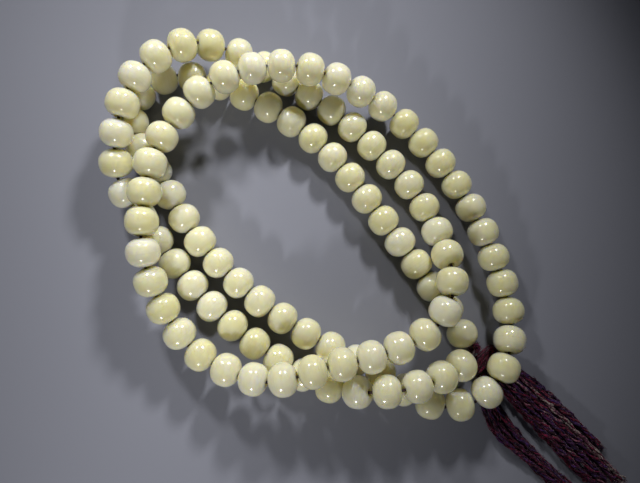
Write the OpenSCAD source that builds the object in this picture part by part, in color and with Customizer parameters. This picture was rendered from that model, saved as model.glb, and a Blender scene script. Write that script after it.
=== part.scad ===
// Misbaha: one strand of barrel beads laid in three turns, with a yarn tassel at its join.
// Units are millimetres. Z is up and the lowest beads rest on z = 0. The origin is under the
// middle of the beads' bounding box.

/* [Beads] */
// Diameter of a bead, across its thread
bead_dia = 12; // [9:0.5:16]
// Length of a bead, along its thread
bead_len = 10.2; // [7.5:0.1:13]
// Diameter of the hole through a bead
bore_dia = 1.9; // [1.7:0.1:2.6]
// Radius that rounds a bead's end into its side, as a share of the diameter
end_round = 0.41; // [0.34:0.01:0.42]
// Least bare thread between two beads on a straight run
bead_gap = 0.15; // [0.1:0.05:0.5]

/* [Thread] */
// Diameter of the thread that carries the beads
thread_dia = 1.3; // [0.8:0.1:1.6]
// Break in the thread at a place where a lifted arc turns
thread_break = 0.5; // [0.4:0.1:0.6]

/* [Tassel] */
// Length of the tassel, from the binding to the yarn tips
tassel_len = 72; // [55:1:90]
// Diameter of one plied yarn
yarn_dia = 2; // [1.2:0.1:2.4]
// Width of the binding
binding_w = 12; // [11:0.5:14]
// Height of the binding
binding_h = 4; // [3:0.1:4.4]
// Length of the binding
binding_len = 5; // [4:0.5:6]
// Diameter of the knot that joins the two ends of the strand
knot_dia = 4.6; // [3:0.1:5]

/* [Hidden] */
$fn = 48;
BEADS = 109;

// Route of the strand, drawn for a 12 x 10.2 mm bead: it rises where it crosses another turn. The
// first turn lies on the table, the second lies over everything, the third runs between them.
COURSE = [
    [56, -39, 6], [48.5, -25.5, 6], [35, -6, 6], [22.5, 10.5, 6], [9, 28, 6], [-5.5, 42.5, 6],
    [-22, 53, 6], [-40, 61, 6], [-57.5, 63.5, 6], [-69.5, 56, 6], [-70.5, 41, 6], [-59.5, 23, 6],
    [-46.5, 2, 6], [-32, -14, 6], [-15.5, -27.5, 6], [3, -39, 6], [22, -48.5, 6], [41, -60.5, 6],
    [59, -57.5, 10], [68.5, -44, 11], [72, -25.5, 6], [66.5, -4.5, 6], [58, 15, 6], [46, 32.5, 6],
    [32, 47.5, 6], [14, 57.5, 12], [-4, 62.5, 17.5], [-15, 63, 18.5], [-25.5, 62, 18], [-36, 58, 18.5],
    [-47, 51, 16.5], [-57, 36.5, 16.5], [-60.5, 27, 19], [-62, 17.5, 18], [-62.5, -2, 18.5],
    [-58, -20.5, 13.5], [-44.5, -40.5, 9], [-24, -49.5, 14], [-12, -49, 18], [-1.5, -45.5, 18.5],
    [18, -41.5, 18], [38.5, -33.5, 16], [46, -21, 18.5], [47, -10, 16], [45, 3, 7.5], [36.5, 20, 6],
    [22, 35.5, 6], [6.5, 50, 6], [-11.5, 61.5, 6], [-31.5, 73, 6], [-49.5, 72, 15.5], [-65.5, 60, 18.5],
    [-72.5, 40, 18], [-73.5, 21, 10.5], [-60.5, 0.5, 6], [-47, -16.5, 6], [-33.5, -30, 6], [-16.5, -43, 6],
    [3, -53.5, 6], [14, -54, 14.5], [21.5, -53.5, 18], [33, -52, 18.5], [43.5, -49, 14],
    [58, -43, 6.5]
];
// [bead, bare thread after it beyond the usual gap]
SLACK = [
    [16, 0.1], [37, 0.3], [46, 0.2], [48, 0.2], [74, 0.2], [86, 0.5], [93, 0.3]
];
// Edges of the two fans of yarn, from the binding to the tips, for a 72 mm tassel
WIDE_FAN = [[[70.5, -43], [81, -50], [93.5, -61], [106, -73], [121, -90]],
            [[65, -48], [71.5, -59], [80.5, -70], [91.5, -81], [103.5, -93]]];
SIDE_FAN = [[[64.5, -48.5], [69.5, -61], [76.5, -71.5], [86, -81], [98, -92]],
            [[60.5, -51.5], [62, -62.5], [66.5, -73.5], [77, -82.5], [90.5, -94.5]]];
BRIEF = 0.25;                 // share of the wide fan, at its right edge, that has shorter yarns
DRAWN = [12, 10.35, 72];      // bead diameter, bead step and tassel length that the lists are drawn for
DRAWN_ROUND = 4.92;           // end radius of the bead that they are drawn for
ORIGIN = [-1, 7, 0];         // middle of the beads in the lists' own coordinates
BINDING = [63.5, -44.5];      // middle of the binding
KNOT = [59.3, -40.1, 3.4];    // middle of the knot
BINDING_TURN = -50;           // way the tassel leaves the binding

// Sizes that follow from the ones above
bead_r = bead_dia / 2;
round_r = min(end_round * bead_dia, bead_len / 2 - 0.02);
grow = bead_dia / DRAWN[0];
spread = max(grow, (bead_len + bead_gap) / DRAWN[1]);
usual_gap = DRAWN[1] * spread - bead_len;
reach = tassel_len / DRAWN[2] * spread;

function flat(p) = [(p[0] - ORIGIN[0]) * spread, (p[1] - ORIGIN[1]) * spread];
function placed(p) = concat(flat(p), [max(bead_r, p[2] * grow)]);
function dir(v) = v / norm(v);

// Smooth curve through a list's points, at parameter t in points
function item(list, i) = i < 0 ? 2 * list[0] - list[1]
    : i >= len(list) ? 2 * list[len(list) - 1] - list[len(list) - 2] : list[i];
function curve(list, t) =
    let (i = min(floor(t), len(list) - 2), u = t - i, a = item(list, i - 1), b = item(list, i),
         c = item(list, i + 1), d = item(list, i + 2))
    0.5 * (2 * b + (c - a) * u + (2 * a - 5 * b + 4 * c - d) * u * u
           + (3 * b - a - 3 * c + d) * u * u * u);

STEPS = 20;
FINE = [for (i = [0 : (len(COURSE) - 1) * STEPS]) placed(curve(COURSE, i / STEPS))];

// Walk along the fine curve: [point, next index] at a straight distance from p
function skip(p, i, far) = norm(FINE[i] - p) < far && i < len(FINE) - 1 ? skip(p, i + 1, far) : i;
function seek(p, i, far) =
    let (k = skip(p, i, far), a = FINE[k - 1], u = FINE[k] - a, w = a - p,
         A = u * u, B = 2 * (u * w), C = w * w - far * far)
    [a + u * (-B + sqrt(max(0, B * B - 4 * A * C))) / (2 * A), k];

// Room that two beads need to lean towards each other where the strand bends by an angle, and the
// bare thread there: what keeps the drawn step, or what the beads need if that is more
function lean(angle, r = bead_r, end = round_r) =
    2 * ((r - end) * sin(angle / 2) + end * (1 - cos(angle / 2)));
function bare(angle) = max(usual_gap + spread * lean(angle, DRAWN[0] / 2, DRAWN_ROUND),
                           bead_gap + lean(angle));
function slack(k) = let (hit = [for (s = SLACK) if (s[0] == k) s[1]]) len(hit) ? hit[0] * spread : 0;
function bend(a, b, c, d) = acos(min(1, dir(b - a) * dir(d - c)));

// [start, end] of every bead's hole, placed one after another along the route
function thread_beads(k, start) =
    k > BEADS ? [] :
    let (a = start[0], out = seek(a, start[1], bead_len), gap = usual_gap + slack(k),
         trial = seek(out[0], out[1], gap + 0.2), after = seek(trial[0], trial[1], bead_len),
         turn = k == BEADS ? 0 : bend(a, out[0], trial[0], after[0]),
         next = k == BEADS ? out : seek(out[0], out[1], bare(turn) + slack(k)))
    concat([[a, out[0]]], thread_beads(k + 1, next));
HOLES = thread_beads(1, [FINE[0], 1]);
function hole_in(k) = HOLES[k - 1][0];
function hole_out(k) = HOLES[k - 1][1];
function between(k) = (hole_out(k) + hole_in(k + 1)) / 2;

// Closed tube through points, one radius per point
function ring(p, t, r, n) =
    let (s = dir(cross(t, [0, 0, 1])), u = cross(s, t))
    [for (i = [0 : n - 1]) p + r * (cos(360 * i / n) * s + sin(360 * i / n) * u)];
module tube(path, radii, n = 8) {
    last = len(path) - 1;
    rings = [for (k = [0 : last])
        ring(path[k], dir(path[min(k + 1, last)] - path[max(k - 1, 0)]), radii[k], n)];
    points = [for (r = rings) each r];
    sides = [for (k = [0 : last - 1]) for (i = [0 : n - 1])
        let (a = k * n + i, b = k * n + (i + 1) % n)
        each [[a, b, a + n], [b, b + n, a + n]]];
    polyhedron(points, concat(sides, [[for (i = [n - 1 : -1 : 0]) i]],
                              [[for (i = [0 : n - 1]) last * n + i]]));
}

// One bead: a barrel with rounded ends, turned about its hole
module bead(k) {
    a = hole_in(k);
    d = dir(hole_out(k) - a);
    straight = bead_len / 2 - round_r;
    color([0.86, 0.84, 0.70])
        translate((a + hole_out(k)) / 2) rotate([0, acos(d[2]), atan2(d[1], d[0])])
            rotate_extrude() difference() {
                union() {
                    translate([0, -bead_len / 2]) square([bead_r - round_r, bead_len]);
                    translate([0, -straight]) square([bead_r, 2 * straight]);
                    for (side = [-1, 1])
                        intersection() {
                            translate([bead_r - round_r, side * straight]) circle(round_r);
                            translate([0, -bead_len / 2]) square([bead_r, bead_len]);
                        }
                }
                translate([-1, -bead_len]) square([1 + bore_dia / 2, 2 * bead_len]);
            }
}

module bead_run(first, last) {
    for (k = [first : last]) bead(k);
}

// The thread from one bead to another, cut short at each end, or run on to the knot
module thread_run(first, last, from_knot = false, to_knot = false) {
    knot = concat(flat(KNOT), [KNOT[2]]);
    inner = [for (k = [first : last]) each [hole_in(k), hole_out(k)]];
    start = from_knot ? knot + (knot_dia / 2 + 0.1) * dir(hole_in(first) - knot)
        : between(first - 1) + thread_break / 2 * dir(hole_in(first) - between(first - 1));
    end = to_knot ? knot + (knot_dia / 2 + 0.1) * dir(hole_out(last) - knot)
        : between(last) + thread_break / 2 * dir(hole_out(last) - between(last));
    path = concat([start], inner, [end]);
    color([0.16, 0.09, 0.10]) tube(path, [for (p = path) thread_dia / 2]);
}

module thread_lower() {
    thread_run(1, 37, from_knot = true);
    thread_run(47, 48);
    thread_run(75, 86);
    thread_run(94, BEADS, to_knot = true);
}

// The knot that joins the strand's ends, and the binding that holds the yarns
module knot() {
    color([0.33, 0.08, 0.13]) translate(concat(flat(KNOT), [KNOT[2]])) sphere(d = knot_dia);
}

module binding() {
    color([0.30, 0.07, 0.16])
        translate(concat(flat(BINDING), [binding_h / 2])) rotate([0, 0, BINDING_TURN]) {
            cube([binding_len, binding_w - binding_h, binding_h], center = true);
            for (side = [-1, 1])
                translate([-binding_len / 2, side * (binding_w - binding_h) / 2, 0])
                    rotate([0, 90, 0]) cylinder(d = binding_h, h = binding_len);
        }
}

// One layer of a fan: count yarns between the two edges, the upper layer lying in the valleys
module fan(edges, count, upper, tint, brief = 0) {
    from = flat((edges[0][0] + edges[1][0]) / 2);
    cuts = 16;
    for (i = [0 : count - 1 - upper]) {
        share = (i + 0.5 + upper / 2) / count;
        ends = (share < brief ? 0.85 : 1) - 0.03 * (1 + sin(137 * i + 80 * upper));
        row = [for (c = [0 : cuts])
            let (t = 4 * ends * c / cuts, a = curve(edges[0], t), b = curve(edges[1], t),
                 on = min(t + 0.2, 4), ahead = curve(edges[0], on) + curve(edges[1], on),
                 back = curve(edges[0], on - 0.3) + curve(edges[1], on - 0.3),
                 gap = 0.94 * abs(cross(b - a, dir(ahead - back))) / count * min(spread, reach),
                 r = min(yarn_dia / 2, 0.46 * gap),
                 rise = upper ? sqrt(max(0.3 * r * r, pow(2.08 * r, 2) - gap * gap / 4)) : 0,
                 p = from + (flat(a + (b - a) * share) - from) * reach / spread)
            [p[0], p[1], r + rise, r]];
        color(tint)
            tube([for (q = row) [q[0], q[1], q[2]]], [for (q = row) q[3]]);
    }
}

module yarns_wide() {
    fan(WIDE_FAN, 7, 0, [0.38, 0.07, 0.16], BRIEF);
    fan(WIDE_FAN, 7, 1, [0.30, 0.12, 0.32], BRIEF);
}

module yarns_side() {
    fan(SIDE_FAN, 4, 0, [0.15, 0.14, 0.32]);
    fan(SIDE_FAN, 4, 1, [0.38, 0.07, 0.16]);
}

// Beads that can be turned by themselves, and the runs of the others
FREE = [for (k = [38 : 46]) k, for (k = [49 : 61]) k, for (k = [67 : 74]) k, for (k = [87 : 93]) k];
RUNS = [[1, 12], [13, 24], [25, 37], [47, 48], [62, 66], [75, 86], [94, 101], [102, BEADS]];
function run_name(r) = str("beads_", r[0], "_to_", r[1]);

for (k = FREE) bead(k);
for (r = RUNS) bead_run(r[0], r[1]);
thread_lower();
thread_run(38, 46);  // thread_side_arc
thread_run(49, 74);  // thread_top_turn
thread_run(87, 93);  // thread_upper_arc
knot();
binding();
yarns_wide();
yarns_side();
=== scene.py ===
"""Misbaha: a long strand of barrel beads laid in three turns, with a plied yarn tassel.

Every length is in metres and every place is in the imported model's own frame.
"""

import logging
import math
import random
from dataclasses import dataclass, field
from enum import Enum
from typing import Iterable, Sequence

import bmesh
import bpy
from mathutils import Matrix, Vector, noise


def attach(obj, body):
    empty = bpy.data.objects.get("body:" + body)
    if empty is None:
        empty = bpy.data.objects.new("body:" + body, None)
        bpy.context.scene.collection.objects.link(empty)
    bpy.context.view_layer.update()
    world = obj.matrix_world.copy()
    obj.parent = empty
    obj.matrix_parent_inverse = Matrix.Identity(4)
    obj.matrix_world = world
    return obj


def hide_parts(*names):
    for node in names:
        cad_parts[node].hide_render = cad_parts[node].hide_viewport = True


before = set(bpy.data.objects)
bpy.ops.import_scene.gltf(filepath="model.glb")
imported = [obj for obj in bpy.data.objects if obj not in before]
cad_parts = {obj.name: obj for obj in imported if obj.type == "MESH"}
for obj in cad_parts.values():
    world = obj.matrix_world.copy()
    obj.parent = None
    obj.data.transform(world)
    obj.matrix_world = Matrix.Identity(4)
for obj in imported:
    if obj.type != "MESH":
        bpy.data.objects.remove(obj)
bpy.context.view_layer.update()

MM = 0.001
LOG = logging.getLogger("misbaha")


# ---------------------------------------------------------------- shader maths


class Number:
    """A number that varies over a surface, with Math nodes behind its operators."""

    def __init__(self, tree: bpy.types.NodeTree, socket: bpy.types.NodeSocket) -> None:
        """Args: tree: the material's nodes. socket: the output that holds the number."""
        self.tree, self.socket = tree, socket

    def math(self, operation: str, *values: "Number | float", clamp: bool = False) -> "Number":
        """Adds one Math node.

        Args:
            operation: the Math node's operation.
            values: its inputs, in order.
            clamp: True to keep the result between 0 and 1.

        Returns:
            The result as a Number.
        """
        node = self.tree.nodes.new("ShaderNodeMath")
        node.operation, node.use_clamp = operation, clamp
        for slot, value in zip(node.inputs, values):
            if isinstance(value, Number):
                self.tree.links.new(value.socket, slot)
            else:
                slot.default_value = value
        return Number(self.tree, node.outputs[0])

    def __add__(self, other: "Number | float") -> "Number":
        """Sum."""
        return self.math("ADD", self, other)

    __radd__ = __add__

    def __sub__(self, other: "Number | float") -> "Number":
        """Difference."""
        return self.math("SUBTRACT", self, other)

    def __rsub__(self, other: "Number | float") -> "Number":
        """Difference, taken from a plain number."""
        return self.math("SUBTRACT", other, self)

    def __mul__(self, other: "Number | float") -> "Number":
        """Product."""
        return self.math("MULTIPLY", self, other)

    __rmul__ = __mul__

    def __pow__(self, other: float) -> "Number":
        """Power."""
        return self.math("POWER", self, other)

    def unit(self) -> "Number":
        """The number kept between 0 and 1."""
        return self.math("ADD", self, 0.0, clamp=True)

    def between(self, low: float, high: float) -> "Number":
        """A smooth step: 0 below low, 1 above high."""
        node = self.tree.nodes.new("ShaderNodeMapRange")
        node.interpolation_type = "SMOOTHSTEP"
        self.tree.links.new(self.socket, node.inputs["Value"])
        node.inputs["From Min"].default_value = low
        node.inputs["From Max"].default_value = high
        return Number(self.tree, node.outputs["Result"])


class Shade:
    """A material under construction."""

    def __init__(self, name: str) -> None:
        """Args: name: the material's name."""
        self.material = bpy.data.materials.new(name)
        self.material.use_nodes = True
        self.tree = self.material.node_tree
        self.tree.nodes.clear()
        self.place = self.node("ShaderNodeTexCoord").outputs["Object"]

    def node(self, kind: str, settings: dict | None = None, **inputs: object) -> bpy.types.Node:
        """Adds any node.

        Args:
            kind: the node's type.
            settings: its own settings, set before its inputs.
            inputs: values or links for its sockets, with _ for a space in a socket's name.

        Returns:
            The new node.
        """
        made = self.tree.nodes.new(kind)
        for key, value in (settings or {}).items():
            setattr(made, key, value)
        for key, value in inputs.items():
            slot = made.inputs[key.replace("_", " ")]
            if isinstance(value, Number):
                value = value.socket
            if isinstance(value, bpy.types.NodeSocket):
                self.tree.links.new(value, slot)
            else:
                slot.default_value = value
        return made

    def noise(self, scale: float, detail: float = 2.0, rough: float = 0.5,
              vector: bpy.types.NodeSocket | None = None) -> Number:
        """Noise over the piece's own place in space, or over another vector."""
        made = self.node("ShaderNodeTexNoise", None, Vector=vector or self.place, Scale=scale,
                         Detail=detail, Roughness=rough)
        return Number(self.tree, made.outputs[0])

    def attribute(self, name: str) -> Number:
        """A number kept on the piece's vertices."""
        made = self.node("ShaderNodeAttribute", {"attribute_name": name})
        return Number(self.tree, made.outputs["Fac"])

    def blend(self, share: "Number | float", first: object, second: object) -> bpy.types.NodeSocket:
        """Mixes two colours.

        Args:
            share: how much of the second colour shows.
            first: a colour or a link.
            second: a colour or a link.

        Returns:
            The mixed colour's socket.
        """
        made = self.node("ShaderNodeMix", {"data_type": "RGBA"})
        for slot, value in ((made.inputs[0], share), (made.inputs[6], first), (made.inputs[7], second)):
            if isinstance(value, Number):
                value = value.socket
            if isinstance(value, bpy.types.NodeSocket):
                self.tree.links.new(value, slot)
            else:
                slot.default_value = (*value, 1.0) if isinstance(value, tuple) else value
        return made.outputs[2]

    def ramp(self, value: Number, stops: Sequence[tuple[float, tuple[float, float, float]]],
             interpolation: str = "LINEAR") -> bpy.types.NodeSocket:
        """Turns a number into a colour along a list of stops."""
        made = self.node("ShaderNodeValToRGB")
        ramp = made.color_ramp
        ramp.interpolation = interpolation
        while len(ramp.elements) < len(stops):
            ramp.elements.new(0.5)
        for element, (at, colour) in zip(ramp.elements, stops):
            element.position, element.color = at, (*colour, 1.0)
        self.tree.links.new(value.socket, made.inputs[0])
        return made.outputs[0]

    def bump(self, height: Number, depth: float, strength: float = 1.0) -> bpy.types.NodeSocket:
        """Turns a height into a surface normal; depth is the height of 1, in metres."""
        return self.node("ShaderNodeBump", None, Height=height, Distance=depth,
                         Strength=strength).outputs[0]

    def finish(self, constants: dict[str, object], **inputs: object) -> bpy.types.Material:
        """Adds the surface shader.

        Args:
            constants: values set on the shader's own sockets, by socket name.
            inputs: links that vary over the surface.

        Returns:
            The finished material.
        """
        body = self.node("ShaderNodeBsdfPrincipled", None, **inputs)
        for key, value in constants.items():
            body.inputs[key].default_value = value
        out = self.node("ShaderNodeOutputMaterial")
        self.tree.links.new(body.outputs[0], out.inputs["Surface"])
        return self.material


# ---------------------------------------------------------------- finishes


@dataclass(frozen=True)
class PolishedStone:
    """Milky, waxy stone of the beads: cream with a green-yellow depth, olive painted shade at the hole
    mouths, and a hard polish.
    """

    cream: tuple[float, float, float] = (0.86, 0.815, 0.53)
    milk: tuple[float, float, float] = (0.88, 0.84, 0.68)
    # olive: the stone's own olive tone, also used as painted shade at the hole mouths
    olive: tuple[float, float, float] = (0.58, 0.55, 0.20)
    depth: float = 8.0 * MM

    def material(self) -> bpy.types.Material:
        """Returns: the beads' material."""
        s = Shade("bead_stone")
        tone, along = s.attribute("tone"), s.attribute("along")
        cloud = s.noise(95.0, 3.0, 0.55).between(0.36, 0.66)
        vein = s.noise(330.0, 4.0, 0.6).between(0.45, 0.75)
        bands = s.node("ShaderNodeCombineXYZ", None, X=along * 5.0, Y=tone * 37.0)
        ringed = s.noise(2.2, 2.0, 0.6, bands.outputs[0])
        mouth = s.attribute("mouth")
        mixed = s.blend((tone * 0.55 + cloud * 0.35).unit(), self.milk, self.cream)
        # olive share: random tone, veins and turned bands, plus painted shade (olive darkening) at the
        # hole mouths where the beads meet
        olive_tone_and_mouth_shade = (tone * 0.28 + vein * 0.14 + ringed.between(0.5, 0.8) * 0.16 + mouth * 0.65).unit()
        colour = s.blend(olive_tone_and_mouth_shade, mixed, self.olive)
        height = ringed * 0.55 + s.noise(900.0, 2.0, 0.5) * 0.12
        rough = (0.34 + vein * 0.14 + mouth * 0.3).unit()
        return s.finish(
            {"Subsurface Weight": 1.0, "Subsurface Radius": (1.0, 0.86, 0.34),
             "Subsurface Scale": self.depth, "IOR": 1.54, "Specular IOR Level": 0.3,
             "Coat Roughness": 0.09, "Coat IOR": 1.55, "Coat Weight": 1.0},
            Base_Color=colour, Roughness=rough, Normal=s.bump(height, 0.05 * MM, 0.5))


@dataclass(frozen=True)
class WaxedThread:
    """Dark, waxed, tightly twisted thread."""

    dark: tuple[float, float, float] = (0.020, 0.010, 0.012)
    light: tuple[float, float, float] = (0.075, 0.030, 0.036)

    def material(self) -> bpy.types.Material:
        """Returns: the thread's material."""
        s = Shade("waxed_thread")
        fibre = s.noise(4200.0, 2.0, 0.6)
        return s.finish({"Sheen Weight": 0.2, "Sheen Roughness": 0.5, "IOR": 1.45},
                        Base_Color=s.blend(fibre, self.dark, self.light), Roughness=0.5 + fibre * 0.2,
                        Normal=s.bump(fibre, 0.05 * MM))


@dataclass(frozen=True)
class DyedYarn:
    """Spun fibre, dyed in several colours, with painted glints (pale highlight specks in streaks) and
    painted shade in small near-black patches.
    """

    name: str
    stops: tuple[tuple[float, tuple[float, float, float]], ...] = (
        (0.00, (0.030, 0.002, 0.009)),
        (0.20, (0.230, 0.008, 0.048)),
        (0.38, (0.090, 0.008, 0.060)),
        (0.56, (0.085, 0.026, 0.180)),
        (0.72, (0.016, 0.010, 0.045)),
        (0.86, (0.300, 0.075, 0.150)),
        (1.00, (0.560, 0.460, 0.430)),
    )
    # painted glint: a pale colour that stands in for highlights on the yarn's fibres
    painted_glint: tuple[float, float, float] = (0.70, 0.54, 0.58)

    def material(self) -> bpy.types.Material:
        """Returns: the yarn's material."""
        s = Shade(self.name)
        shade, along = s.attribute("shade"), s.attribute("along")
        drift = s.noise(340.0, 3.0, 0.6) - 0.5
        dye = s.ramp((shade + drift * 0.70).unit(), self.stops)
        line = s.node("ShaderNodeCombineXYZ", None, X=along * 260.0, Y=shade * 91.0)
        # painted glints: pale highlight specks in streaks along each ply
        glint_spots = s.noise(1.0, 3.0, 0.7, line.outputs[0]).between(0.60, 0.68)
        fibre = s.noise(5200.0, 2.0, 0.65)
        coarse = s.noise(1500.0, 2.0, 0.6)
        dye_with_painted_glints = s.blend(glint_spots * fibre.between(0.40, 0.65) * 0.8, dye, self.painted_glint)
        # painted shade: near-black patches that stand in for the dark gaps between fibres
        colour = s.blend((1.0 - coarse.between(0.38, 0.64)) * 0.88, dye_with_painted_glints, (0.005, 0.001, 0.004))
        return s.finish(
            {"Sheen Weight": 0.45, "Sheen Roughness": 0.4, "Sheen Tint": (0.95, 0.70, 0.80, 1.0),
             "IOR": 1.45, "Specular IOR Level": 0.3},
            Base_Color=colour, Roughness=0.68 + fibre * 0.25,
            Normal=s.bump(fibre * 0.5 + coarse, 0.12 * MM))


@dataclass(frozen=True)
class GreyFloor:
    """The plain surface under the strand: a middle blue-grey, darker than a studio's pale floor."""

    colour: tuple[float, float, float] = (0.265, 0.275, 0.33)

    def material(self) -> bpy.types.Material:
        """Returns: the floor's material."""
        s = Shade("grey_floor")
        return s.finish({"IOR": 1.4, "Specular IOR Level": 0.2},
                        Base_Color=s.blend(0.0, self.colour, self.colour),
                        Roughness=0.75 + s.noise(30.0) * 0.1)


# ---------------------------------------------------------------- the strand's route


@dataclass
class Route:
    """The line that the strand follows, and where each bead sits on it."""

    course: tuple[tuple[float, float, float], ...] = ()
    slack: dict[int, float] = field(default_factory=dict)
    origin: tuple[float, float] = (-1.0, 7.0)
    bead_length: float = 10.2
    bead_radius: float = 6.0
    end_round: float = 4.92
    usual_gap: float = 0.15
    beads: int = 109
    cuts: int = 20

    def __post_init__(self) -> None:
        """Walks along the route once and keeps both ends of every bead's hole, in millimetres."""
        self.fine = [self.at(i / self.cuts) for i in range((len(self.course) - 1) * self.cuts + 1)]
        self.holes = self.walk()

    def at(self, t: float) -> Vector:
        """A point of the smooth curve through the course, t points along it."""
        x, y, z = smooth(self.course, t)
        return Vector((x - self.origin[0], y - self.origin[1], max(self.bead_radius, z)))

    def seek(self, point: Vector, start: int, far: float) -> tuple[Vector, int]:
        """Finds where the route is a straight distance away.

        Args:
            point: where to measure from.
            start: the fine point to look on from.
            far: the distance.

        Returns:
            The place, and the next fine point after it.
        """
        i = start
        while (self.fine[i] - point).length < far and i < len(self.fine) - 1:
            i += 1
        a = self.fine[i - 1]
        u, w = self.fine[i] - a, a - point
        qa, qb, qc = u.dot(u), 2 * u.dot(w), w.dot(w) - far * far
        return a + u * ((-qb + math.sqrt(max(0.0, qb * qb - 4 * qa * qc))) / (2 * qa)), i

    def lean(self, angle: float) -> float:
        """Room that two beads need where the strand bends by an angle."""
        flat = self.bead_radius - self.end_round
        return 2 * (flat * math.sin(angle / 2) + self.end_round * (1 - math.cos(angle / 2)))

    def walk(self) -> list[tuple[Vector, Vector]]:
        """Returns: the two ends of every bead's hole, in order along the strand."""
        found: list[tuple[Vector, Vector]] = []
        here, i = self.fine[0], 1
        for k in range(1, self.beads + 1):
            out, j = self.seek(here, i, self.bead_length)
            found.append((here, out))
            if k == self.beads:
                break
            gap = self.usual_gap + self.slack.get(k, 0.0)
            trial, j1 = self.seek(out, j, gap + 0.2)
            after, _ = self.seek(trial, j1, self.bead_length)
            here, i = self.seek(out, j, gap + self.lean((out - here).angle(after - trial)))
        return found

    def centre(self, k: int) -> Vector:
        """Middle of bead k, in metres."""
        a, b = self.holes[k - 1]
        return (a + b) / 2 * MM

    def way(self, k: int) -> Vector:
        """Unit vector along bead k's hole."""
        a, b = self.holes[k - 1]
        return (b - a).normalized()


def smooth(points: Sequence[Sequence[float]], t: float) -> list[float]:
    """A smooth curve through points.

    Args:
        points: the points that it passes through.
        t: how many points along it.

    Returns:
        The place on the curve.
    """
    i = min(int(math.floor(t)), len(points) - 2)
    u = t - i

    def item(k: int) -> Sequence[float]:
        """Point k, carried on in a straight line beyond either end."""
        if k < 0:
            return [2 * a - b for a, b in zip(points[0], points[1])]
        if k >= len(points):
            return [2 * a - b for a, b in zip(points[-1], points[-2])]
        return points[k]

    rows = zip(item(i - 1), item(i), item(i + 1), item(i + 2))
    return [0.5 * (2 * b + (c - a) * u + (2 * a - 5 * b + 4 * c - d) * u * u
                   + (3 * b - a - 3 * c + d) * u ** 3) for a, b, c, d in rows]


# Points that the strand passes through, in millimetres, as the model's design gives them
COURSE = (
    (56, -39, 6), (48.5, -25.5, 6), (35, -6, 6), (22.5, 10.5, 6), (9, 28, 6), (-5.5, 42.5, 6),
    (-22, 53, 6), (-40, 61, 6), (-57.5, 63.5, 6), (-69.5, 56, 6), (-70.5, 41, 6), (-59.5, 23, 6),
    (-46.5, 2, 6), (-32, -14, 6), (-15.5, -27.5, 6), (3, -39, 6), (22, -48.5, 6), (41, -60.5, 6),
    (59, -57.5, 10), (68.5, -44, 11), (72, -25.5, 6), (66.5, -4.5, 6), (58, 15, 6), (46, 32.5, 6),
    (32, 47.5, 6), (14, 57.5, 12), (-4, 62.5, 17.5), (-15, 63, 18.5), (-25.5, 62, 18),
    (-36, 58, 18.5), (-47, 51, 16.5), (-57, 36.5, 16.5), (-60.5, 27, 19), (-62, 17.5, 18),
    (-62.5, -2, 18.5), (-58, -20.5, 13.5), (-44.5, -40.5, 9), (-24, -49.5, 14), (-12, -49, 18),
    (-1.5, -45.5, 18.5), (18, -41.5, 18), (38.5, -33.5, 16), (46, -21, 18.5), (47, -10, 16),
    (45, 3, 7.5), (36.5, 20, 6), (22, 35.5, 6), (6.5, 50, 6), (-11.5, 61.5, 6), (-31.5, 73, 6),
    (-49.5, 72, 15.5), (-65.5, 60, 18.5), (-72.5, 40, 18), (-73.5, 21, 10.5), (-60.5, 0.5, 6),
    (-47, -16.5, 6), (-33.5, -30, 6), (-16.5, -43, 6), (3, -53.5, 6), (14, -54, 14.5),
    (21.5, -53.5, 18), (33, -52, 18.5), (43.5, -49, 14), (58, -43, 6.5),
)
# Extra bare thread after these beads, in millimetres
SLACK = {16: 0.1, 37: 0.3, 46: 0.2, 48: 0.2, 74: 0.2, 86: 0.5, 93: 0.3}

ROUTE = Route(COURSE, SLACK)


class Body(Enum):
    """The bodies that carry more than one piece."""

    STRAND = "strand"
    TOP_TURN = "top_turn"
    SIDE_ARC = "side_arc"
    UPPER_ARC = "upper_arc"
    TASSEL_WIDE = "tassel_wide"
    TASSEL_SIDE = "tassel_side"


def add_piece(name: str, mesh: bmesh.types.BMesh, material: bpy.types.Material, body: str,
              replaced: Iterable[str]) -> bpy.types.Object:
    """Makes an object of a finished mesh and ties it to its body.

    Args:
        name: the piece's name.
        mesh: its shape, in the model's frame. It is freed here.
        material: its finish.
        body: the body that it moves with.
        replaced: the CAD nodes that it stands for.

    Returns:
        The new object.
    """
    data = bpy.data.meshes.new(name)
    mesh.to_mesh(data)
    mesh.free()
    data.materials.append(material)
    data.shade_smooth()
    piece = bpy.data.objects.new(name, data)
    bpy.context.scene.collection.objects.link(piece)
    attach(piece, body)
    if replaced:
        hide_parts(*replaced)
    return piece


# ---------------------------------------------------------------- beads


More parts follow.
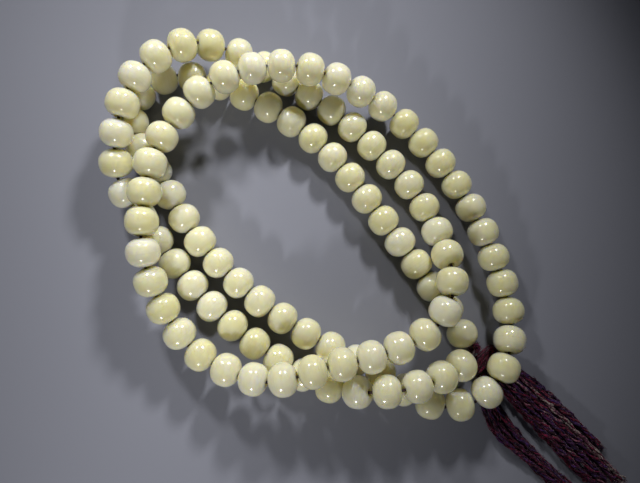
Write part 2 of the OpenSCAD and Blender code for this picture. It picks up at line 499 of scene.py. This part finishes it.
@dataclass
class BeadStrand:
    """The beads, each turned by hand and so a little different from its neighbours."""

    route: Route
    material: bpy.types.Material
    radius: float = 6.0 * MM
    half: float = 5.1 * MM
    hole: float = 0.95 * MM
    mouth: float = 1.15 * MM
    sides: int = 40
    runs: tuple[tuple[int, int], ...] = ((1, 12), (13, 24), (25, 37), (47, 48), (62, 66), (75, 86),
                                         (94, 101), (102, 109))

    def node_of(self, k: int) -> str:
        """Name of the CAD node that holds bead k."""
        for first, last in self.runs:
            if first <= k <= last:
                return f"beads_{first}_to_{last}"
        return f"bead_{k}"

    def body_of(self, k: int) -> str:
        """Name of the body that carries bead k."""
        if self.node_of(k).startswith("bead_"):
            return f"bead_{k}"
        return Body.TOP_TURN.value if 62 <= k <= 66 else Body.STRAND.value

    def profile(self, rng: random.Random) -> list[tuple[float, float]]:
        """Half of a bead's outline, from one mouth of the hole over the side to the other.

        Args:
            rng: the bead's own random numbers.

        Returns:
            Pairs of distance from the hole's axis and place along it.
        """
        full = rng.uniform(2.12, 2.36)
        radius = self.radius * rng.uniform(0.97, 1.0)
        half = self.half * rng.uniform(0.997, 1.0)
        lean = rng.uniform(-0.05, 0.05)
        first = math.cos(math.radians(13.0)) ** (2 / (full + 0.1))
        points = [(self.hole, half - 0.55 * MM), (self.hole + 0.12 * MM, half - 0.28 * MM)]
        cuts = 17
        for i in range(cuts):
            angle = math.radians(13.0) + i / (cuts - 1) * math.radians(154.0)
            out = abs(math.sin(angle)) ** (2 / full)
            up = math.copysign(abs(math.cos(angle)) ** (2 / (full + 0.1)) / first, math.cos(angle))
            points.append((radius * out * (1 + lean * up * 0.5), half * up))
        points[2] = (max(points[2][0], self.mouth), points[2][1])
        points += [(self.hole + 0.12 * MM, -half + 0.28 * MM), (self.hole, -half + 0.55 * MM)]
        return points

    def build_bead(self, k: int) -> bpy.types.Object:
        """Makes bead k: an outline spun about its hole, then pushed slightly out of true."""
        rng = random.Random(9000 + k)
        bm = bmesh.new()
        tone = bm.verts.layers.float.new("tone")
        along = bm.verts.layers.float.new("along")
        mouth = bm.verts.layers.float.new("mouth")
        dots = [bm.verts.new((r, 0.0, z)) for r, z in self.profile(rng)]
        edges = [bm.edges.new(pair) for pair in zip(dots, dots[1:] + dots[:1])]
        bmesh.ops.spin(bm, geom=[*dots, *edges], cent=(0, 0, 0), axis=(0, 0, 1), angle=math.tau,
                       steps=self.sides, use_merge=True, use_duplicate=False)
        bmesh.ops.remove_doubles(bm, verts=bm.verts, dist=1e-7)
        bmesh.ops.recalc_face_normals(bm, faces=bm.faces)
        shade, seed = rng.random(), Vector((k * 3.1, 0.0, 0.0))
        oval, turn = rng.uniform(0.0, 0.012), rng.uniform(0.0, math.pi)
        for v in bm.verts:
            out = math.hypot(v.co.x, v.co.y)
            v[tone], v[along] = shade, v.co.z / self.half
            # mouth: 1 at the hole's mouth, fading over 0.9 mm; the finish paints olive shade and more
            # roughness there
            v[mouth] = 1.0 - min(1.0, max(0.0, (out - self.hole) / (0.9 * MM)))
            if out > self.mouth * 1.05:
                around = math.atan2(v.co.y, v.co.x)
                wave = noise.noise(v.co * 260.0 + seed) * 0.010
                grow = 1 - 0.006 - oval * (0.5 - 0.5 * math.cos(2 * (around - turn))) + wave * 0.6
                v.co.x *= grow
                v.co.y *= grow
        self.place(bm, k, rng)
        return add_piece(f"bead_piece_{k:03d}", bm, self.material, self.body_of(k),
                         [self.node_of(k)])

    def place(self, bm: bmesh.types.BMesh, k: int, rng: random.Random) -> None:
        """Turns a bead about its hole by chance, and puts it on the strand."""
        turn = self.route.way(k).to_track_quat("Z", "Y").to_matrix().to_4x4()
        spot = Matrix.Translation(self.route.centre(k))
        roll = Matrix.Rotation(rng.uniform(0, math.tau), 4, "Z")
        bmesh.ops.transform(bm, matrix=spot @ turn @ roll, verts=bm.verts)

    def build(self) -> None:
        """Makes every bead and reports each one."""
        for k in range(1, self.route.beads + 1):
            LOG.info("made %s", self.build_bead(k).name)


# ---------------------------------------------------------------- cords


@dataclass
class Twist:
    """A cord of several strands laid round each other."""

    strands: int
    strand_radius: float
    lay_radius: float
    turn_length: float
    bevel: int = 1
    uneven: float = 0.0

    def add_to(self, bm: bmesh.types.BMesh, path: Sequence[Vector], shades: Sequence[float],
               widths: Sequence[float], phase: float, fray: float = 0.0) -> None:
        """Adds the strands along a path to a mesh.

        Args:
            bm: the mesh, which has the layers shade and along.
            path: the middle of the cord, evenly spaced.
            shades: one dye number for each strand.
            widths: the share of the full thickness at each point of the path.
            phase: where round the cord the first strand starts.
            fray: how far the strands stand apart at the far end, as a share of the lay radius.
        """
        shade_of, along_of = bm.verts.layers.float["shade"], bm.verts.layers.float["along"]
        run = [0.0]
        for a, b in zip(path, path[1:]):
            run.append(run[-1] + (b - a).length)
        for s in range(self.strands):
            curve = bpy.data.curves.new("strand", "CURVE")
            curve.dimensions, curve.bevel_depth = "3D", self.strand_radius
            curve.bevel_resolution, curve.use_fill_caps = self.bevel, True
            line = curve.splines.new("POLY")
            line.points.add(len(path) - 1)
            for i, point in enumerate(path):
                ahead = (path[min(i + 1, len(path) - 1)] - path[max(i - 1, 0)]).normalized()
                side = ahead.cross(Vector((0, 0, 1))).normalized()
                up = side.cross(ahead)
                thick, loose, turn = (
                    self.uneven * noise.noise(Vector((run[i] * 380, 9.7 * s + k, phase * 5)))
                    for k in (0.3, 3.1, 6.2))
                lay = s / self.strands + run[i] / self.turn_length
                angle = phase + 1.6 * turn + math.tau * lay
                open_up = 1 + loose + fray * max(0.0, (run[i] / run[-1] - 0.9) / 0.1) ** 2
                off = self.lay_radius * widths[i] * open_up
                at = point + off * (math.cos(angle) * side + math.sin(angle) * up)
                line.points[i].co = (*at, 1.0)
                line.points[i].radius = widths[i] * (1 + thick)
            holder = bpy.data.objects.new("strand", curve)
            mesh = bpy.data.meshes.new_from_object(holder)
            first = len(bm.verts)
            bm.from_mesh(mesh)
            bm.verts.ensure_lookup_table()
            ring = max(1, (len(bm.verts) - first) // len(path))
            for n in range(first, len(bm.verts)):
                bm.verts[n][shade_of] = shades[s]
                bm.verts[n][along_of] = min(1.0, (n - first) // ring / len(path))
            bpy.data.objects.remove(holder)
            bpy.data.curves.remove(curve)
            bpy.data.meshes.remove(mesh)


@dataclass(frozen=True)
class Fuzz:
    """Loose fibres that stand out of a yarn."""

    count: int
    reach: float = 1.3 * MM
    thickness: float = 0.07 * MM
    floor: float = 0.08 * MM

    def add_to(self, bm: bmesh.types.BMesh, path: Sequence[Vector], radius: float,
               shades: Sequence[float], rng: random.Random, at_end: float = 0.0) -> None:
        """Adds the fibres along a path to a mesh.

        Args:
            bm: the mesh, which has the layers shade and along.
            path: the middle of the yarn.
            radius: how far from the middle the fibres start.
            shades: the dye numbers that they may have.
            rng: the yarn's own random numbers.
            at_end: the share of the fibres that stand out of the yarn's cut end.
        """
        shade_of, along_of = bm.verts.layers.float["shade"], bm.verts.layers.float["along"]
        last, cuts = len(path) - 2, 4
        for _ in range(self.count):
            tip = rng.random() < at_end
            i = last if tip else rng.randrange(1, last)
            ahead = (path[i + 1] - path[i - 1]).normalized()
            side = ahead.cross(Vector((0, 0, 1))).normalized()
            turn = rng.uniform(0, math.tau)
            out = math.cos(turn) * side + math.sin(turn) * side.cross(ahead)
            drift = rng.uniform(1.2, 2.4) if tip else rng.choice((-1, 1)) * rng.uniform(0.5, 1.8)
            reach, curl = self.reach * rng.uniform(0.35, 1.0), rng.uniform(-0.8, 0.8)
            start = path[i] + out * radius * (rng.uniform(0.1, 0.9) if tip else 0.8)
            way = (out * 0.7 + ahead * drift).normalized()
            first = way.orthogonal().normalized()
            second, shade = way.cross(first), rng.choice(shades)
            rings: list[list[bmesh.types.BMVert]] = []
            for c in range(cuts + 1):
                u = c / cuts
                middle = start + reach * (
                    u * (1 - 0.4 * u) * 0.7 * out + u * drift * ahead + curl * u * u * side)
                middle.z = max(middle.z, self.floor)
                ring = []
                for n in range(3):
                    a = math.tau * n / 3
                    off = self.thickness * (1 - 0.6 * u)
                    vert = bm.verts.new(middle + off * (math.cos(a) * first + math.sin(a) * second))
                    vert[shade_of], vert[along_of] = shade, i / last
                    ring.append(vert)
                rings.append(ring)
            for low, high in zip(rings, rings[1:]):
                for n in range(3):
                    bm.faces.new((low[n], low[(n + 1) % 3], high[(n + 1) % 3], high[n]))
            bm.faces.new(rings[0][::-1])
            bm.faces.new(rings[-1])


def cord_mesh() -> bmesh.types.BMesh:
    """Returns: an empty mesh with the layers that the yarns' and thread's finishes read."""
    bm = bmesh.new()
    bm.verts.layers.float.new("shade")
    bm.verts.layers.float.new("along")
    return bm


def even(points: Sequence[Vector], step: float) -> list[Vector]:
    """The points of a line again, a step apart."""
    out, left = [points[0].copy()], step
    for a, b in zip(points, points[1:]):
        length, at = (b - a).length, 0.0
        while length - at >= left:
            at += left
            left = step
            out.append(a.lerp(b, at / length))
        left -= length - at
    if (out[-1] - points[-1]).length > step * 0.3:
        out.append(points[-1].copy())
    return out


@dataclass
class Thread:
    """The thread that runs through the beads, in one piece for each body that it crosses."""

    route: Route
    material: bpy.types.Material
    knot: tuple[float, float, float] = (60.3, -47.1, 3.4)

    def run(self, first: int, last: int) -> list[Vector]:
        """The middle of the thread from one bead to another, in metres."""
        points: list[Vector] = []
        for k in range(first, last + 1):
            a, b = self.route.holes[k - 1]
            points += [a * MM, b * MM]
        return points

    def between(self, k: int) -> Vector:
        """Middle of the bare thread after bead k."""
        return (self.route.holes[k - 1][1] + self.route.holes[k][0]) / 2 * MM

    def build_part(self, name: str, body: Body, node: str, runs: Sequence[tuple[int, int]]) -> None:
        """Makes the thread of one body.

        Args:
            name: the piece's name.
            body: the body that carries it.
            node: the CAD node that it stands for.
            runs: the first and last bead of each stretch.
        """
        bm = cord_mesh()
        knot = Vector(self.knot) * MM
        for first, last in runs:
            path = self.run(first, last)
            path.insert(0, knot if first == 1 else self.between(first - 1))
            path.append(knot if last == self.route.beads else self.between(last))
            path = even(path, 0.7 * MM)
            Twist(3, 0.34 * MM, 0.30 * MM, 3.6 * MM, 0).add_to(
                bm, path, (0.2, 0.5, 0.8), [1.0] * len(path), first * 0.7)
        piece = add_piece(name, bm, self.material, body.value, [node])
        LOG.info("made %s", piece.name)

    def build(self) -> None:
        """Makes the thread of every body."""
        beads = self.route.beads
        self.build_part("thread_lower_twist", Body.STRAND, "thread_lower",
                        ((1, 37), (47, 48), (75, 86), (94, beads)))
        self.build_part("thread_side_twist", Body.SIDE_ARC, "thread_side_arc", ((38, 46),))
        self.build_part("thread_top_twist", Body.TOP_TURN, "thread_top_turn", ((49, 74),))
        self.build_part("thread_upper_twist", Body.UPPER_ARC, "thread_upper_arc", ((87, 93),))


# ---------------------------------------------------------------- tassel


@dataclass
class Fan:
    """One fan of yarns: the edges that it lies between, in millimetres, and its yarns."""

    name: str
    body: Body
    node: str
    slot: str
    edges: tuple[tuple[tuple[float, float], ...], tuple[tuple[float, float], ...]]
    count: int
    brief: float = 0.0
    pale: tuple[int, int] = (-1, 0)


# Dye numbers that a yarn's plies may have, and those of the knot's and binding's loose fibres
YARN_DYES = (0.02, 0.06, 0.14, 0.20, 0.24, 0.38, 0.45, 0.56, 0.62, 0.74, 0.88)
KNOT_DYES = (0.02, 0.20, 0.24, 0.42)


@dataclass
class Tassel:
    """The tassel: two fans of plied yarn, the knot and the binding that they leave."""

    materials: dict[str, bpy.types.Material]
    fans: tuple[Fan, ...]
    origin: tuple[float, float] = (-1.0, 7.0)
    yarn: float = 2.0
    binding: tuple[float, float] = (63.5, -44.5)
    binding_size: tuple[float, float, float] = (5.0, 12.0, 4.0)
    binding_turn: float = -50.0
    knot: tuple[float, float, float] = (59.3, -40.1, 3.4)
    tuck: float = 0.35 * MM

    def line(self, fan: Fan, i: int, upper: int,
             rng: random.Random) -> tuple[list[Vector], list[float]]:
        """One yarn's middle and its thickness.

        Args:
            fan: the fan that it belongs to.
            i: its number across the fan.
            upper: 1 for the layer that lies in the valleys of the lower one.
            rng: the yarn's own random numbers.

        Returns:
            Points in metres, and the share of the full thickness at each.
        """
        share = (i + 0.5 + upper / 2) / fan.count
        ragged = 0.03 * (1 + math.sin(math.radians(137 * i + 80 * upper)))
        ends = (0.85 if share < fan.brief else 1.0) - ragged
        sway, phase = rng.uniform(0.20, 0.45), rng.uniform(0, math.tau)
        points, widths = [], []
        cuts = 60
        for c in range(cuts + 1):
            t = 4 * ends * c / cuts
            a, b = (Vector(smooth(edge, t)) for edge in fan.edges)
            on = min(t + 0.2, 4.0)
            ahead = sum((Vector(smooth(e, on)) for e in fan.edges), Vector((0, 0)))
            back = sum((Vector(smooth(e, on - 0.3)) for e in fan.edges), Vector((0, 0)))
            way = (ahead - back).normalized()
            across = b - a
            gap = 0.94 * abs(across.x * way.y - across.y * way.x) / fan.count
            r = min(self.yarn / 2, 0.46 * gap)
            rise = math.sqrt(max(0.3 * r * r, (2.08 * r) ** 2 - gap * gap / 4)) if upper else 0.0
            place = a + across * share
            wander = sway * math.sin(t * 2.3 + phase) + 0.12 * math.sin(t * 11 + 3 * phase)
            bow = wander * min(1.0, t)
            place += Vector((-way.y, way.x)) * bow
            points.append(Vector((place.x - self.origin[0], place.y - self.origin[1], r + rise)) * MM)
            widths.append(r / (self.yarn / 2))
        points.insert(0, points[0] + (points[0] - points[1]).normalized() * self.tuck)
        widths.insert(0, widths[0])
        return points, widths

    def build_yarn(self, fan: Fan, i: int, upper: int) -> None:
        rng = random.Random(f"{fan.name}{i}{upper}")
        points, widths = self.line(fan, i, upper, rng)
        path = even(points, 0.55 * MM)
        share = [widths[min(len(widths) - 1, round(n / (len(path) - 1) * (len(widths) - 1)))]
                 for n in range(len(path))]
        shades = [rng.choice(YARN_DYES) for _ in range(5)]
        if fan.pale == (i, upper):
            shades[1] = shades[3] = 0.98
        bm = cord_mesh()
        Twist(5, 0.34 * MM, 0.60 * MM, rng.uniform(8.0, 16.0) * MM, 1, 1.0).add_to(
            bm, path, shades, share, rng.uniform(0, math.tau), 0.7)
        Fuzz(150).add_to(bm, path, 0.9 * MM, [*shades, 0.86, 0.93, 1.0], rng, 0.2)
        layer = "upper" if upper else "lower"
        piece = add_piece(f"{fan.name}_{layer}_{i + 1}", bm, self.materials[fan.slot], fan.body.value,
                          [fan.node])
        length = sum((b - a).length for a, b in zip(path, path[1:]))
        self.yarn * MM
        LOG.info("made %s", piece.name)

    def build_binding(self) -> None:
        """Makes the binding: turns of yarn side by side round the yarns' heads."""
        length, width, height = self.binding_size
        bm = cord_mesh()
        turns, r = 4, height / 2 - 0.55
        for n in range(turns):
            x = (n + 0.5 - turns / 2) * length / turns
            ring: list[Vector] = []
            flat = width / 2 - height / 2
            for c in range(65):
                angle = math.tau * c / 64
                shift = flat if math.cos(angle) > 0 else -flat
                ring.append(Vector((x + 0.25 * math.sin(angle + n), shift + r * math.cos(angle),
                                    height / 2 + r * math.sin(angle))) * MM)
            ring = even(ring, 0.5 * MM)
            Twist(4, 0.32 * MM, 0.36 * MM, 6.0 * MM, 1, 0.5).add_to(
                bm, ring, (0.20, 0.04, 0.10, 0.24), [1.0] * len(ring), n * 1.3)
            Fuzz(90, 1.2 * MM).add_to(bm, ring, 0.5 * MM, KNOT_DYES, random.Random(70 + n))
        core = bmesh.ops.create_cube(bm, size=1.0)["verts"]
        bmesh.ops.scale(bm, vec=Vector((length - 0.4, width - 1.6, height - 1.4)) * MM, verts=core)
        bmesh.ops.translate(bm, vec=Vector((0, 0, height / 2 * MM)), verts=core)
        sides = [e for e in bm.edges if e.verts[0] in core and e.verts[1] in core]
        bmesh.ops.bevel(bm, geom=sides, offset=1.0 * MM, segments=4, profile=0.5, affect="EDGES",
                        material=-1)
        place = Vector((self.binding[0] - self.origin[0], self.binding[1] - self.origin[1], 0)) * MM
        spot = Matrix.Translation(place) @ Matrix.Rotation(math.radians(self.binding_turn), 4, "Z")
        bmesh.ops.transform(bm, matrix=spot, verts=bm.verts)
        piece = add_piece("binding_wraps", bm, self.materials["knot"], Body.STRAND.value,
                          ["binding"])
        LOG.info("made %s", piece.name)

    def build_knot(self) -> None:
        """Makes the round knot: one length of yarn wound over itself."""
        bm = cord_mesh()
        middle = Vector((self.knot[0] - self.origin[0], self.knot[1] - self.origin[1],
                         self.knot[2])) * MM
        path: list[Vector] = []
        for c in range(241):
            t = math.tau * c / 240
            r = 1.25 + 0.35 * math.cos(5 * t)
            path.append(middle + Vector((r * math.cos(3 * t), r * math.sin(3 * t),
                                         1.15 * math.sin(5 * t))) * MM)
        path = even(path, 0.45 * MM)
        Twist(4, 0.28 * MM, 0.30 * MM, 5.0 * MM, 1, 0.5).add_to(
            bm, path, (0.20, 0.04, 0.24, 0.42), [1.0] * len(path), 0.0)
        Fuzz(260, 2.4 * MM).add_to(bm, path, 0.4 * MM, KNOT_DYES, random.Random(7))
        core = bmesh.ops.create_icosphere(bm, subdivisions=2, radius=1.3 * MM)["verts"]
        bmesh.ops.translate(bm, vec=middle, verts=core)
        piece = add_piece("knot_turns", bm, self.materials["knot"], Body.STRAND.value,
                          ["knot"])
        LOG.info("made %s", piece.name)

    def build(self) -> None:
        """Makes both fans, the binding and the knot."""
        for fan in self.fans:
            for upper in (0, 1):
                for i in range(fan.count - upper):
                    self.build_yarn(fan, i, upper)
        self.build_binding()
        self.build_knot()


# ---------------------------------------------------------------- room


@dataclass
class Room:
    """Floor, light and camera."""

    aim: tuple[float, float, float] = (0.001, -0.007, 0.006)
    lean: tuple[float, float] = (-4.0, -6.5)
    distance: float = 0.194
    lens: float = 28.97
    lit: tuple[float, float, float] = (-0.045, -0.025, 0.0)

    def build_camera(self) -> None:
        """Makes the camera, which looks down and leans a little towards the near left."""
        data = bpy.data.cameras.new("camera")
        data.lens, data.sensor_width, data.clip_start = self.lens, 36.0, 0.005
        camera = bpy.data.objects.new("camera", data)
        back = Vector((*(math.tan(math.radians(a)) for a in self.lean), 1.0)).normalized()
        right = Vector((0.0, 1.0, 0.0)).cross(back).normalized()
        turn = Matrix((right, back.cross(right), back)).transposed()
        spot = Matrix.Translation(Vector(self.aim) + back * self.distance)
        camera.matrix_world = spot @ turn.to_4x4()
        bpy.context.scene.collection.objects.link(camera)
        bpy.context.scene.camera = camera

    def build_floor(self) -> None:
        """Makes the floor."""
        bm = bmesh.new()
        bmesh.ops.create_grid(bm, x_segments=1, y_segments=1, size=3.0)
        data = bpy.data.meshes.new("floor")
        bm.to_mesh(data)
        bm.free()
        data.materials.append(GreyFloor().material())
        floor = bpy.data.objects.new("floor", data)
        bpy.context.scene.collection.objects.link(floor)

    def lamp(self, name: str, bearing: float, height: float, far: float, size: float, power: float,
             colour: tuple[float, float, float], spread: float = 180.0) -> None:
        """Adds a round light that faces the strand's left part, narrowed to a pool of light.

        Args:
            name: the light's name.
            bearing: where it stands, in degrees round from +X.
            height: how high it stands above the floor, in degrees.
            far: its distance from the middle of the strand.
            size: its diameter.
            power: its power in watts.
            colour: its colour.
            spread: how wide its light fans out, in degrees.
        """
        a, b = math.radians(bearing), math.radians(height)
        place = Vector((math.cos(a) * math.cos(b), math.sin(a) * math.cos(b), math.sin(b))) * far
        data = bpy.data.lights.new(name, "AREA")
        data.shape, data.size, data.energy, data.color = "DISK", size, power, colour
        data.spread = math.radians(spread)
        lamp = bpy.data.objects.new(name, data)
        lamp.location = place
        lamp.rotation_mode = "QUATERNION"
        lamp.rotation_quaternion = (Vector(self.lit) - place).to_track_quat("-Z", "Y")
        bpy.context.scene.collection.objects.link(lamp)

    def build_light(self) -> None:
        """Makes the lights and the even light of the room."""
        self.lamp("key_right", 72.0, 36.0, 0.38, 0.048, 0.130, (1.0, 0.985, 0.96), 62.0)
        self.lamp("key_left", 120.0, 34.0, 0.38, 0.042, 0.078, (1.0, 0.985, 0.96), 62.0)
        self.lamp("low_near", 257.0, 25.0, 0.38, 0.034, 0.066, (1.0, 0.985, 0.97), 62.0)
        world = bpy.data.worlds.new("room")
        bpy.context.scene.world = world
        world.use_nodes = True
        back = world.node_tree.nodes["Background"]
        back.inputs["Color"].default_value = (0.86, 0.90, 1.0, 1.0)
        back.inputs["Strength"].default_value = 0.02

    def build(self) -> None:
        """Makes the whole room."""
        self.build_camera()
        self.build_floor()
        self.build_light()
        bpy.context.scene.view_settings.view_transform = "Standard"


WIDE_EDGES = (((70.5, -43.0), (81.0, -50.0), (93.5, -61.0), (106.0, -73.0), (121.0, -90.0)),
              ((65.0, -48.0), (71.5, -59.0), (80.5, -70.0), (91.5, -81.0), (103.5, -93.0)))
SIDE_EDGES = (((64.5, -48.5), (69.5, -61.0), (76.5, -71.5), (86.0, -81.0), (98.0, -92.0)),
              ((60.5, -51.5), (62.0, -62.5), (66.5, -73.5), (77.0, -82.5), (90.5, -94.5)))


def main() -> None:
    """Builds the room, the tassel, the thread and the beads, in that order."""
    logging.basicConfig(level=logging.INFO, format="%(message)s")
    Room().build()
    yarns = {"yarn_wide": DyedYarn("yarn_wide_dye").material(),
             "yarn_side": DyedYarn("yarn_side_dye").material(),
             "knot": DyedYarn("knot_dye").material()}
    fans = (Fan("wide_yarn", Body.TASSEL_WIDE, "yarns_wide", "yarn_wide", WIDE_EDGES, 7,
                0.25, (1, 1)),
            Fan("side_yarn", Body.TASSEL_SIDE, "yarns_side", "yarn_side", SIDE_EDGES, 4))
    Tassel(yarns, fans).build()
    Thread(ROUTE, WaxedThread().material()).build()
    BeadStrand(ROUTE, PolishedStone().material()).build()


if __name__ == "__main__":
    main()
